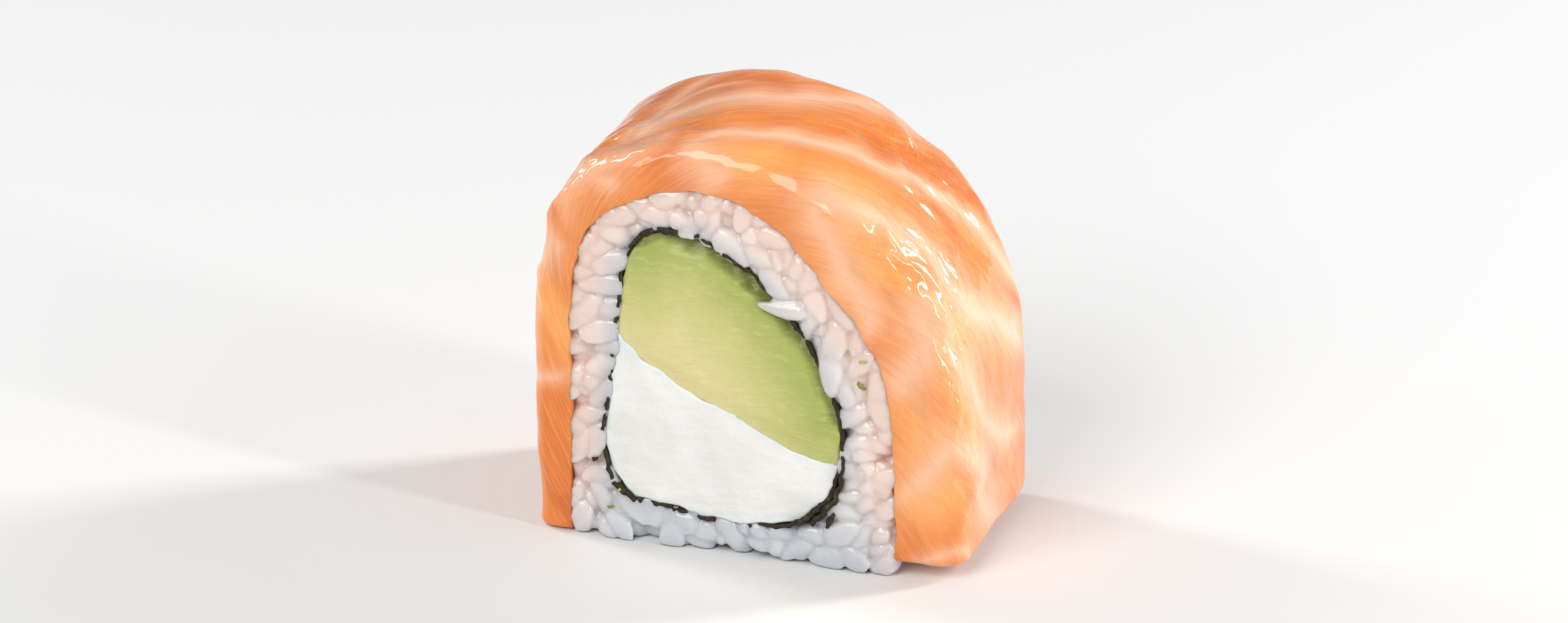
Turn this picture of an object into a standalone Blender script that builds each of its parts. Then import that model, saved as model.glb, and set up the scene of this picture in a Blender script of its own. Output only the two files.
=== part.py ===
"""One slice of an inside-out sushi roll, with raw salmon draped over it.

The slice stands as it is served: the roll's axis runs along Y, the front cut face looks to -Y, and
the flat underside of the rice and the salmon's left end rest on Z = 0. The salmon's right end hangs
a little above that. From the middle outwards it has a wedge of avocado beside a bar of cream cheese, one turn of nori
whose ends lap at the lower right, a layer of rice, and the salmon over the top and both sides.
Lengths are in metres, and outlines are (X, Z) in millimetres, seen from the front.
"""

import math

import bmesh
import bpy
import numpy as np
from mathutils import Matrix, Vector, noise

MM = 0.001
SEED = 41

# The slice
HALF_SLICE = 12.0 * MM
GAP = 0.3 * MM
STEPS = 12

# Salmon: its outer and inner surface from the left end over the top to the right end
SALMON_OUTER = [(-22.3, 0), (-22.5, 14), (-22.3, 28.5), (-18.4, 38.2), (-8, 42.9), (1.5, 42.6),
                (9.3, 39.6), (15.6, 34.4), (19.5, 28), (21.7, 19.5), (22.3, 10), (22.0, 1.4)]
SALMON_INNER = [(-18.3, 0), (-18.5, 14), (-18.2, 27.5), (-15.2, 34.4), (-7.6, 38), (-0.8, 37.4),
                (5.3, 33.2), (10.6, 27.3), (14, 21), (15.1, 14), (15.2, 7), (15.1, 1.4)]
SALMON_STATIONS = 44
OUTER_EDGE = 2.4 * MM
INNER_EDGE = 0.5 * MM
EDGE_ARC_STEPS = 4
FILLING_ARC_STEPS = 2
SALMON_ACROSS = 6
SALMON_SWELL = 0.35 * MM
SWELL_LENGTH = 9.0 * MM
SALMON_FOOT = 0.9 * MM
FOOT_SHARE = 0.88

# Filling: one closed outline from the seam's right end, round the cheese, then round the avocado
CHEESE_RIM = [(9.2, 11), (7.9, 7.4), (4.2, 4.3), (-2.5, 3.7), (-8.8, 4.6), (-13.1, 6.1), (-14.8, 10.6),
              (-14, 17)]
AVOCADO_RIM = [(-13.4, 22.4), (-12.8, 28.2), (-11.2, 32.4), (-8.2, 33.7), (-2.8, 32.4), (3, 27.6),
               (7, 21.8), (9.3, 16.2)]
SEAM = [(-13.4, 22.4), (-11.6, 20.3), (-7, 17.4), (-1, 14.9), (5, 12.1), (9.2, 11)]
RIM_POINTS = 30
SEAM_POINTS = 14
FILLING_EDGE = 0.5 * MM
AVOCADO_HALF = HALF_SLICE
CHEESE_HALF = HALF_SLICE - 0.1 * MM

# Nori: one turn round the filling, and a lap where its second end lies over the first
NORI_THICKNESS = 0.5 * MM
NORI_HALF = HALF_SLICE - 0.4 * MM
NORI_STATIONS = 84
NORI_ACROSS = 3
NORI_CRINKLE = 0.22 * MM
CRINKLE_LENGTH = 2.6 * MM
LAP = 0.075
LAP_RISE = 0.05

# Rice: a core, and the grains that show on both cut faces and underneath
CORE_INSET = 0.3 * MM
CORE_HALF = HALF_SLICE - 1.4 * MM
CORE_BOTTOM = 0.9 * MM
RING_POINTS = 48
GRAIN_LENGTH = 6.2 * MM
GRAIN_WIDTH = 2.9 * MM
GRAIN_SIDES = 6
GRAIN_RINGS = 4
FACE_GRAINS = 52
UNDER_GRAINS = 30
CANDIDATES = 24
FACE_DEPTH = HALF_SLICE - 1.3 * MM
UNDER_HEIGHT = 1.25 * MM

COLOURS = {
    "salmon": (0.80, 0.27, 0.08),
    "rice": (0.80, 0.77, 0.74),
    "nori": (0.012, 0.014, 0.008),
    "avocado": (0.45, 0.52, 0.13),
    "cream_cheese": (0.86, 0.85, 0.82),
}
ROUGHNESS = {"salmon": 0.3, "rice": 0.35, "nori": 0.55, "avocado": 0.4, "cream_cheese": 0.45}


def clear_scene():
    for obj in list(bpy.data.objects):
        bpy.data.objects.remove(obj, do_unlink=True)


def material(name):
    made = bpy.data.materials.new(name)
    made.use_nodes = True
    shader = made.node_tree.nodes["Principled BSDF"]
    shader.inputs["Base Color"].default_value = (*COLOURS[name], 1.0)
    shader.inputs["Roughness"].default_value = ROUGHNESS[name]
    made.diffuse_color = (*COLOURS[name], 1.0)
    return made


def add_object(name, mesh, collection=None):
    obj = bpy.data.objects.new(name, mesh)
    (collection or bpy.context.scene.collection).objects.link(obj)
    return obj


def loft(name, rings, wrap=False):
    """A closed body through rings of points, capped at both ends or, with wrap, joined end to end."""
    bm = bmesh.new()
    made = [[bm.verts.new(point) for point in ring] for ring in rings]
    count = len(made[0])
    pairs = list(zip(made, made[1:])) + ([(made[-1], made[0])] if wrap else [])
    for one, other in pairs:
        for i in range(count):
            j = (i + 1) % count
            bm.faces.new((one[i], one[j], other[j], other[i]))
    if not wrap:
        bm.faces.new(made[0])
        bm.faces.new(made[-1])
    bmesh.ops.recalc_face_normals(bm, faces=bm.faces)
    bmesh.ops.triangulate(bm, faces=bm.faces)
    mesh = bpy.data.meshes.new(name)
    bm.to_mesh(mesh)
    bm.free()
    return mesh


def finish(obj, name, sharp_degrees=50):
    mesh = obj.data
    mesh.materials.clear()
    mesh.materials.append(material(name))
    mesh.shade_smooth()
    mesh.set_sharp_from_angle(angle=math.radians(sharp_degrees))


def curve_through(points, closed=False):
    """A Catmull-Rom curve, STEPS samples to each stretch, in metres. A given point stays on it."""
    given = np.array(points, float) * MM
    if closed:
        padded = np.vstack([given[-1], given, given[:2]])
    else:
        padded = np.vstack([2 * given[0] - given[1], given, 2 * given[-1] - given[-2]])
    samples = []
    for k in range(1, len(padded) - 2):
        before, start, end, after = padded[k - 1 : k + 3]
        for step in range(STEPS):
            t = step / STEPS
            samples.append(
                0.5 * (2 * start + (end - before) * t
                       + (2 * before - 5 * start + 4 * end - after) * t**2
                       + (3 * start - before - 3 * end + after) * t**3)
            )
    if not closed:
        samples.append(given[-1])
    return np.array(samples)


def respaced(path, count, closed=False):
    """The path with count points at equal distances along it."""
    if closed:
        path = np.vstack([path, path[0]])
    run = np.concatenate([[0], np.cumsum(np.linalg.norm(np.diff(path, axis=0), axis=1))])
    at = np.linspace(0, run[-1], count, endpoint=not closed)
    return np.column_stack([np.interp(at, run, path[:, k]) for k in (0, 1)])


def outward(outline):
    """Unit normals at a closed outline's points, away from its inside."""
    ahead = np.roll(outline, -1, axis=0) - np.roll(outline, 1, axis=0)
    normal = np.column_stack([ahead[:, 1], -ahead[:, 0]])
    x, z = outline.T
    area = np.sum(x * np.roll(z, -1) - np.roll(x, -1) * z)
    return math.copysign(1.0, area) * normal / np.linalg.norm(normal, axis=1)[:, None]


def at_depth(outline, y):
    return [(x, y, z) for x, z in outline]


def rounded_prism(name, outline, half, edge):
    """An outline extruded along Y to both sides, with both edges rounded."""
    normal = outward(outline)
    arc = [math.radians(90 * k / FILLING_ARC_STEPS) for k in range(FILLING_ARC_STEPS + 1)]
    front = [(edge * (1 - math.sin(a)), half - edge * (1 - math.cos(a))) for a in arc]
    rings = [at_depth(outline - normal * inset, -y) for inset, y in front]
    rings += [at_depth(outline - normal * inset, y) for inset, y in reversed(front)]
    return loft(name, rings)


def filling_outline():
    """The filling's outline in two stretches, round the cheese and round the avocado."""
    loop = curve_through(CHEESE_RIM + AVOCADO_RIM, closed=True)
    split = len(CHEESE_RIM) * STEPS
    cheese = respaced(loop[: split + 1], RIM_POINTS)
    avocado = respaced(np.vstack([loop[split:], loop[0]]), RIM_POINTS)
    return cheese, avocado


def build_filling():
    cheese_rim, avocado_rim = filling_outline()
    seam = respaced(curve_through(SEAM), SEAM_POINTS)
    for name, rim, shared, half in (
        ("avocado", avocado_rim, seam[::-1][1:-1], AVOCADO_HALF),
        ("cream_cheese", cheese_rim, seam[1:-1], CHEESE_HALF),
    ):
        outline = np.vstack([rim, shared])
        outline = outline - outward(outline) * GAP / 2
        finish(add_object(name, rounded_prism(name, outline, half, FILLING_EDGE)), name)


def smooth_step(low, high, value):
    t = min(max((value - low) / (high - low), 0.0), 1.0)
    return t * t * (3 - 2 * t)


def loop_point(loop, normal, share):
    """The point and the normal at a share of the way round a closed loop."""
    place = (share % 1.0) * len(loop)
    k, t = int(place), place % 1.0
    j = (k + 1) % len(loop)
    return loop[k] * (1 - t) + loop[j] * t, normal[k] * (1 - t) + normal[j] * t


def filling_loop():
    cheese, avocado = filling_outline()
    loop = respaced(np.vstack([cheese[:-1], avocado[:-1]]), 4 * RIM_POINTS, closed=True)
    return loop, outward(loop)


def build_nori():
    """The sheet, from its inner end round the cheese and the avocado to its lapping outer end."""
    loop, normal = filling_loop()
    rings = []
    for share in np.linspace(0, 1 + LAP, NORI_STATIONS):
        point, out = loop_point(loop, normal, share)
        lift = GAP / 2 + (NORI_THICKNESS + GAP + NORI_CRINKLE) * smooth_step(1 - LAP_RISE, 1, share)
        inner, outer = [], []
        for k in range(NORI_ACROSS + 1):
            y = NORI_HALF * (2 * k / NORI_ACROSS - 1)
            ripple = noise.noise(Vector((point[0], y / 2, point[1])) / CRINKLE_LENGTH)
            base = lift + NORI_CRINKLE * (0.5 + 0.5 * max(-1.0, min(1.0, ripple)))
            for side, away in ((inner, base), (outer, base + NORI_THICKNESS)):
                x, z = point + out * away
                side.append((x, y, z))
        rings.append(inner + outer[::-1])
    finish(add_object("nori", loft("nori", rings)), "nori")


def rice_hole():
    """The closed outline round the nori that the rice keeps clear of."""
    loop, normal = filling_loop()
    room = GAP / 2 + NORI_CRINKLE + NORI_THICKNESS + GAP
    lap = NORI_THICKNESS + GAP + NORI_CRINKLE
    points = []
    for k in range(len(loop)):
        share = k / len(loop)
        near = smooth_step(1 - 2 * LAP_RISE, 1 - LAP_RISE, share) if share > 0.5 else (
            1 - smooth_step(LAP, LAP + LAP_RISE, share)
        )
        points.append(loop[k] + normal[k] * (room + lap * near))
    return respaced(np.array(points), RING_POINTS, closed=True)


def rice_outline():
    """The closed outline of the rice: inside the salmon, and flat along the floor."""
    arch = respaced(curve_through(SALMON_INNER), RING_POINTS)
    arch = arch - outward(arch) * GAP
    arch[0, 1] = arch[-1, 1] = 0.0
    floor = np.linspace(arch[-1], arch[0], RING_POINTS // 3)[1:-1]
    return np.vstack([arch, floor])


def nearest_on(outline, points):
    """For each point, the nearest place on a closed outline, and whether it is inside."""
    start, end = outline, np.roll(outline, -1, axis=0)
    run = end - start
    t = np.einsum("pij,ij->pi", points[:, None] - start, run) / np.sum(run**2, axis=1)
    place = start + run * np.clip(t, 0, 1)[..., None]
    away = np.linalg.norm(points[:, None] - place, axis=2)
    best = away.argmin(axis=1)
    x, z = points[:, 0, None], points[:, 1, None]
    rises = (start[:, 1] > z) != (end[:, 1] > z)
    level = np.where(run[:, 1] == 0, 1, run[:, 1])
    crosses = rises & (x < run[:, 0] * (z - start[:, 1]) / level + start[:, 0])
    rows = np.arange(len(points))
    return place[rows, best], away[rows, best], crosses.sum(axis=1) % 2 == 1


def held_in(points, outer, hole, margin):
    """Points (X, Z) moved where needed to lie inside outer and outside hole by a margin."""
    held = points.copy()
    for outline, wants_inside in ((outer, True), (hole, False)):
        place, away, inside = nearest_on(outline, held)
        wrong = inside != wants_inside
        short = wrong | (away < margin)
        step = (held - place) / np.maximum(away, 1e-9)[:, None]
        step[wrong] *= -1
        held[short] = (place + step * margin)[short]
    return held


def spread_places(rng, count, draw):
    """Places drawn one by one, each the candidate that lies furthest from those before it."""
    places = []
    while len(places) < count:
        candidates = [draw(rng) for _ in range(CANDIDATES)]
        room = [min((np.linalg.norm(place - spot) for place in places), default=0) for spot in candidates]
        places.append(candidates[int(np.argmax(room))])
    return places


def grain(rng, centre, direction, outer, hole, collection):
    """One cooked grain, pressed back where it would leave the rice's own space."""
    length = GRAIN_LENGTH * rng.uniform(0.82, 1.1)
    width = GRAIN_WIDTH * rng.uniform(0.88, 1.08)
    across = Vector(direction).to_track_quat("Z", "Y").to_matrix().to_4x4()
    size = Matrix.Diagonal((width / 2, width / 2 * rng.uniform(0.85, 1.0), length / 2, 1.0))
    bm = bmesh.new()
    place = Matrix.Translation(centre) @ across @ Matrix.Rotation(rng.uniform(0, 1), 4, "Z") @ size
    bmesh.ops.create_uvsphere(bm, u_segments=GRAIN_SIDES, v_segments=GRAIN_RINGS, radius=1, matrix=place)
    flat = np.array([(v.co.x, v.co.z) for v in bm.verts])
    flat = held_in(flat, outer, hole, rng.uniform(0.02, 0.3) * MM)
    for vert, (x, z) in zip(bm.verts, flat):
        vert.co.x, vert.co.z = x, max(z, rng.uniform(0.02, 0.1) * MM)
    bmesh.ops.triangulate(bm, faces=bm.faces)
    mesh = bpy.data.meshes.new("grain")
    bm.to_mesh(mesh)
    bm.free()
    add_object("grain", mesh, collection)


def face_grains(rng, side, outer, hole, collection):
    """Grains on one cut face, lying mostly along the ring of rice."""
    low, high = outer.min(axis=0), outer.max(axis=0)
    edge = GRAIN_WIDTH * 0.42

    def draw(rng):
        while True:
            spot = rng.uniform(low, high)
            _, far, inside = nearest_on(outer, spot[None])
            _, near, in_hole = nearest_on(hole, spot[None])
            if inside[0] and not in_hole[0] and far[0] > edge and near[0] > edge * 0.8:
                return spot

    for spot in spread_places(rng, FACE_GRAINS, draw):
        place, away, _ = nearest_on(hole, spot[None])
        out = (spot - place[0]) / away[0]
        turn = rng.normal(0, 0.5)
        along = np.array([-out[1], out[0]]) * math.cos(turn) + out * math.sin(turn)
        centre = (spot[0], side * (FACE_DEPTH + rng.uniform(-0.3, 0.25) * MM), spot[1])
        grain(rng, centre, (along[0], rng.uniform(-0.35, 0.35), along[1]), outer, hole, collection)


def under_grains(rng, outer, hole, collection):
    """Grains that show underneath, lying flat at any angle."""
    left, right = outer[:, 0].min() + GRAIN_WIDTH / 2, outer[:, 0].max() - GRAIN_WIDTH / 2
    reach = CORE_HALF - GRAIN_WIDTH / 2

    def draw(rng):
        return np.array([rng.uniform(left, right), rng.uniform(-reach, reach)])

    for spot in spread_places(rng, UNDER_GRAINS, draw):
        turn = rng.uniform(0, math.pi)
        direction = (math.cos(turn), math.sin(turn), rng.uniform(-0.15, 0.15))
        centre = (spot[0], spot[1], UNDER_HEIGHT + rng.uniform(-0.1, 0.2) * MM)
        grain(rng, centre, direction, outer, hole, collection)


def rice_core(outer, hole):
    inset = outer - outward(outer) * CORE_INSET
    inset[:, 1] = np.maximum(inset[:, 1], CORE_BOTTOM)
    inset = respaced(inset, RING_POINTS, closed=True)
    inner = hole + outward(hole) * CORE_INSET * 0.7
    start = np.linalg.norm(inset - inner[0], axis=1).argmin()
    inset = np.roll(inset, -start, axis=0)
    if np.sign(turning(inset)) != np.sign(turning(inner)):
        inset = np.roll(inset[::-1], 1, axis=0)
    rings = [at_depth(inset, -CORE_HALF), at_depth(inset, CORE_HALF),
             at_depth(inner, CORE_HALF), at_depth(inner, -CORE_HALF)]
    return loft("rice", rings, wrap=True)


def turning(outline):
    x, z = outline.T
    return np.sum(x * np.roll(z, -1) - np.roll(x, -1) * z)


def keep_largest_body(mesh):
    """Drops loose scraps and the walls of sealed hollows that the union leaves."""
    bm = bmesh.new()
    bm.from_mesh(mesh)
    left, bodies = set(bm.faces), []
    while left:
        queue, body = [left.pop()], []
        while queue:
            face = queue.pop()
            body.append(face)
            for edge in face.edges:
                for other in edge.link_faces:
                    if other in left:
                        left.remove(other)
                        queue.append(other)
        bodies.append(body)
    bodies.sort(key=len)
    scraps = [face for body in bodies[:-1] for face in body]
    bmesh.ops.delete(bm, geom=scraps, context="FACES")
    bmesh.ops.triangulate(bm, faces=bm.faces)
    bm.to_mesh(mesh)
    bm.free()


def build_rice():
    outer, hole = rice_outline(), rice_hole()
    rice = add_object("rice", rice_core(outer, hole))
    grains = bpy.data.collections.new("grains")
    bpy.context.scene.collection.children.link(grains)
    rng = np.random.default_rng(SEED)
    for side in (-1, 1):
        face_grains(rng, side, outer, hole, grains)
    under_grains(rng, outer, hole, grains)
    joined = rice.modifiers.new("grains", "BOOLEAN")
    joined.operation = "UNION"
    joined.operand_type = "COLLECTION"
    joined.collection = grains
    joined.solver = "EXACT"
    evaluated = rice.evaluated_get(bpy.context.evaluated_depsgraph_get())
    rice.data = bpy.data.meshes.new_from_object(evaluated)
    rice.modifiers.clear()
    for obj in list(grains.objects):
        bpy.data.objects.remove(obj, do_unlink=True)
    bpy.data.collections.remove(grains)
    keep_largest_body(rice.data)
    finish(rice, "rice", 70)


def salmon_profile(thickness):
    """The slab's closed section as (Y, distance from its inner surface), with rounded edges."""
    corners = []
    for y, depth, edge, first in (
        (HALF_SLICE, 0.0, INNER_EDGE, -90),
        (HALF_SLICE, thickness, min(OUTER_EDGE, 0.48 * thickness), 0),
        (-HALF_SLICE, thickness, min(OUTER_EDGE, 0.48 * thickness), 90),
        (-HALF_SLICE, 0.0, INNER_EDGE, 180),
    ):
        centre = (y - math.copysign(edge, y), depth + (edge if depth == 0 else -edge))
        arc = []
        for k in range(EDGE_ARC_STEPS + 1):
            a = math.radians(first + 90 * k / EDGE_ARC_STEPS)
            arc.append((centre[0] + edge * math.cos(a), centre[1] + edge * math.sin(a)))
        corners.append(arc)
    top = np.linspace(corners[1][-1], corners[2][0], SALMON_ACROSS + 1)[1:-1]
    return corners[0] + corners[1] + [tuple(p) for p in top] + corners[2] + corners[3]


def build_salmon():
    outer = respaced(curve_through(SALMON_OUTER), SALMON_STATIONS)
    inner = respaced(curve_through(SALMON_INNER), SALMON_STATIONS)
    rings = []
    for k, (out, into) in enumerate(zip(outer, inner)):
        across = out - into
        thickness = np.linalg.norm(across)
        across = across / thickness
        ring = []
        for y, depth in salmon_profile(thickness):
            x, z = into + across * depth
            swell = noise.noise(Vector((x, y, z)) / SWELL_LENGTH) * SALMON_SWELL
            share = depth / thickness
            x, z = np.array((x, z)) + across * swell * share
            y += math.copysign(1, y) * swell * (abs(y) / HALF_SLICE) * share
            ring.append([x, y, z])
        ring = np.array(ring)
        rings.append(ring)
        if k in (0, SALMON_STATIONS - 1):
            end = into[1]
            ring[:, 2] = end + SALMON_FOOT
            middle = ring.mean(axis=0)
            low = middle + (ring - middle) * FOOT_SHARE
            low[:, 2] = end
            rings.insert(0 if k == 0 else len(rings), low)
    finish(add_object("salmon", loft("salmon", rings)), "salmon")


def main():
    clear_scene()
    build_filling()
    build_nori()
    build_rice()
    build_salmon()


main()
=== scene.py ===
"""Looks of one slice of a salmon-draped inside-out roll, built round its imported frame."""

import math

import bmesh
import bpy
import numpy as np
from bpy.props import FloatProperty, FloatVectorProperty, PointerProperty
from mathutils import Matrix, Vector, noise


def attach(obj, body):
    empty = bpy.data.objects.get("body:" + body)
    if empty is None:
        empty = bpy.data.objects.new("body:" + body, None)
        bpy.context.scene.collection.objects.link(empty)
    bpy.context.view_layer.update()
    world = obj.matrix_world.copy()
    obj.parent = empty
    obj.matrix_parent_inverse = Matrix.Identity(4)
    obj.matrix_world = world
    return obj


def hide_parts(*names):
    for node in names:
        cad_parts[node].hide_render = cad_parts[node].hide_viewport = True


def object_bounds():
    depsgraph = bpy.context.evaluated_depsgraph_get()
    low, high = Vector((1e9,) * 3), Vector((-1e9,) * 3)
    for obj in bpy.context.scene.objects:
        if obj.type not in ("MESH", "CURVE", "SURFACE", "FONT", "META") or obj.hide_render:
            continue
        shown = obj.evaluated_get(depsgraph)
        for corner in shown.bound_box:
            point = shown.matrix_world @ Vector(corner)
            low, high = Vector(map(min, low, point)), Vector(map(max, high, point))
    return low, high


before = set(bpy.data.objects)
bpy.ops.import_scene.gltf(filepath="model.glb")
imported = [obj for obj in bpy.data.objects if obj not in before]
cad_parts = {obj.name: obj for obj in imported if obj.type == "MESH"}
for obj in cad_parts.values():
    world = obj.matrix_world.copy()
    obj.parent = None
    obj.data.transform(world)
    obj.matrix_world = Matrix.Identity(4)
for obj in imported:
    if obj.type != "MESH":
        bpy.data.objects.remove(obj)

bl_info = {
    "name": "Salmon Roll Slice",
    "version": (1, 0, 0),
    "blender": (4, 5, 0),
    "location": "3D View > Sidebar > Roll Slice",
    "description": "Dresses one slice of a salmon-draped inside-out roll",
    "category": "Object",
}

MM = 0.001
CAD_BOX = [list(corner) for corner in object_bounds()]

# The camera stands a little to the right and above, as in the photograph
IMAGE_WIDTH, IMAGE_HEIGHT = 2576, 1024
CAMERA_AZIMUTH, CAMERA_ELEVATION = 18.5, 23.0
CAMERA_DISTANCE = 0.78
SENSOR_WIDTH = 36.0

# Outlines (X, Z) in mm, seen from the front. The salmon's run from its left end to its right end
HALF_SLICE = 12.0
SALMON_OUTER = [(-22.3, 0), (-22.5, 14), (-22.3, 28.5), (-18.4, 38.2), (-8, 42.9), (1.5, 42.6),
                (9.3, 39.6), (15.6, 34.4), (19.5, 28), (21.7, 19.5), (22.3, 10), (22.0, 1.4)]
SALMON_INNER = [(-18.3, 0), (-18.5, 14), (-18.2, 27.5), (-15.2, 34.4), (-7.6, 38), (-0.8, 37.4),
                (5.3, 33.2), (10.6, 27.3), (14, 21), (15.1, 14), (15.2, 7), (15.1, 1.4)]
CHEESE_RIM = [(9.2, 11), (7.9, 7.4), (4.2, 4.3), (-2.5, 3.7), (-8.8, 4.6), (-13.1, 6.1), (-14.8, 10.6),
              (-14, 17)]
AVOCADO_RIM = [(-13.4, 22.4), (-12.8, 28.2), (-11.2, 32.4), (-8.2, 33.7), (-2.8, 32.4), (3, 27.6),
               (7, 21.8), (9.3, 16.2)]
SEAM = [(-13.4, 22.4), (-11.6, 20.3), (-7, 17.4), (-1, 14.9), (5, 12.1), (9.2, 11)]


# Curves and outlines

def curve_through(points, closed=False, steps=16):
    """A Catmull-Rom curve through the points, which stay on it."""
    given = np.array(points, float)
    if closed:
        padded = np.vstack([given[-1], given, given[:2]])
    else:
        padded = np.vstack([2 * given[0] - given[1], given, 2 * given[-1] - given[-2]])
    t = np.arange(steps)[:, None] / steps
    samples = []
    for k in range(1, len(padded) - 2):
        before, start, end, after = padded[k - 1 : k + 3]
        samples.append(
            0.5 * (2 * start + (end - before) * t
                   + (2 * before - 5 * start + 4 * end - after) * t**2
                   + (3 * start - before - 3 * end + after) * t**3)
        )
    if not closed:
        samples.append(given[-1:])
    return np.vstack(samples)


def respaced(path, count, closed=False):
    """The path with count points at equal distances along it."""
    if closed:
        path = np.vstack([path, path[:1]])
    run = np.concatenate([[0], np.cumsum(np.linalg.norm(np.diff(path, axis=0), axis=1))])
    at = np.linspace(0, run[-1], count, endpoint=not closed)
    return np.column_stack([np.interp(at, run, path[:, k]) for k in range(path.shape[1])])


def outward(outline):
    """Unit normals at a closed outline's points, away from its inside."""
    ahead = np.roll(outline, -1, axis=0) - np.roll(outline, 1, axis=0)
    normal = np.column_stack([ahead[:, 1], -ahead[:, 0]])
    x, z = outline.T
    area = np.sum(x * np.roll(z, -1) - np.roll(x, -1) * z)
    return math.copysign(1.0, area) * normal / np.linalg.norm(normal, axis=1)[:, None]


def distance_to(path, points):
    """How far each point is from a path of straight stretches, and the nearest place's share of it."""
    start, run = path[:-1], np.diff(path, axis=0)
    length = np.linalg.norm(run, axis=1)
    along = np.concatenate([[0], np.cumsum(length)])
    best = np.full(len(points), np.inf)
    place = np.zeros(len(points))
    for k in range(len(start)):
        t = np.clip((points - start[k]) @ run[k] / max(length[k] ** 2, 1e-12), 0, 1)
        away = np.linalg.norm(points - start[k] - t[:, None] * run[k], axis=1)
        nearer = away < best
        best[nearer] = away[nearer]
        place[nearer] = (along[k] + t * length[k])[nearer]
    return best, place / along[-1]


def with_third(points, third=0.0):
    """Flat points with a third coordinate, one for all of them or one for each."""
    return np.column_stack([points, np.full(len(points), third)])


def upright(spots, y):
    """Spots (X, Z) as points at the depth Y, one for all of them or one for each."""
    return with_third(spots, y)[:, [0, 2, 1]]


def smooth_step(low, high, value):
    t = np.clip((value - low) / (high - low), 0.0, 1.0)
    return t * t * (3 - 2 * t)


def rough(points, size, seed=0.0):
    """Smooth noise from -1 to 1 at each point, with features of about the size given."""
    shift = Vector((seed * 7.31, seed * 3.17, seed * 5.73))
    return np.array([noise.noise(Vector(p) / size + shift) for p in points])


# Meshes

def grid_faces(rows, columns, wrap_rows=False, wrap_columns=False):
    """Quads over a grid of rows by columns of points, numbered row by row."""
    r = np.arange(rows if wrap_rows else rows - 1)[:, None]
    c = np.arange(columns if wrap_columns else columns - 1)[None]
    near, far = r * columns, ((r + 1) % rows) * columns
    beside = (c + 1) % columns
    return np.stack([near + c, near + beside, far + beside, far + c], axis=-1).reshape(-1, 4)


def linked(name, data):
    """A new object in the scene."""
    made = bpy.data.objects.new(name, data)
    bpy.context.scene.collection.objects.link(made)
    return made


def piece(name, points, faces, node=None):
    """A mesh object from points in mm, in the place of a frame node of that name."""
    mesh = bpy.data.meshes.new(name)
    mesh.from_pydata((np.asarray(points) * MM).tolist(), [], [list(map(int, f)) for f in faces])
    mesh.validate()
    bm = bmesh.new()
    bm.from_mesh(mesh)
    bmesh.ops.recalc_face_normals(bm, faces=bm.faces)
    bm.to_mesh(mesh)
    bm.free()
    mesh.shade_smooth()
    made = linked(name, mesh)
    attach(made, "root")
    if node:
        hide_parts(node)
    return made


def keep_value(made, name, values):
    """A number for each point, which a material reads by its name."""
    layer = made.data.attributes.new(name, "FLOAT", "POINT")
    layer.data.foreach_set("value", np.asarray(values, np.float32))


def keep_vector(made, name, values):
    """A vector for each point, which a material reads by its name."""
    layer = made.data.attributes.new(name, "FLOAT_VECTOR", "POINT")
    layer.data.foreach_set("vector", np.asarray(values, np.float32).ravel())


# Materials

class Wire:
    """A socket in a material. Arithmetic on it adds Math nodes."""

    def __init__(self, paint, socket):
        self.paint, self.socket = paint, socket

    def __add__(self, other):
        return self.paint.maths("ADD", self, other)

    def __sub__(self, other):
        return self.paint.maths("SUBTRACT", self, other)

    def __rsub__(self, other):
        return self.paint.maths("SUBTRACT", other, self)

    def __mul__(self, other):
        return self.paint.maths("MULTIPLY", self, other)

    __radd__ = __add__
    __rmul__ = __mul__


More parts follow.
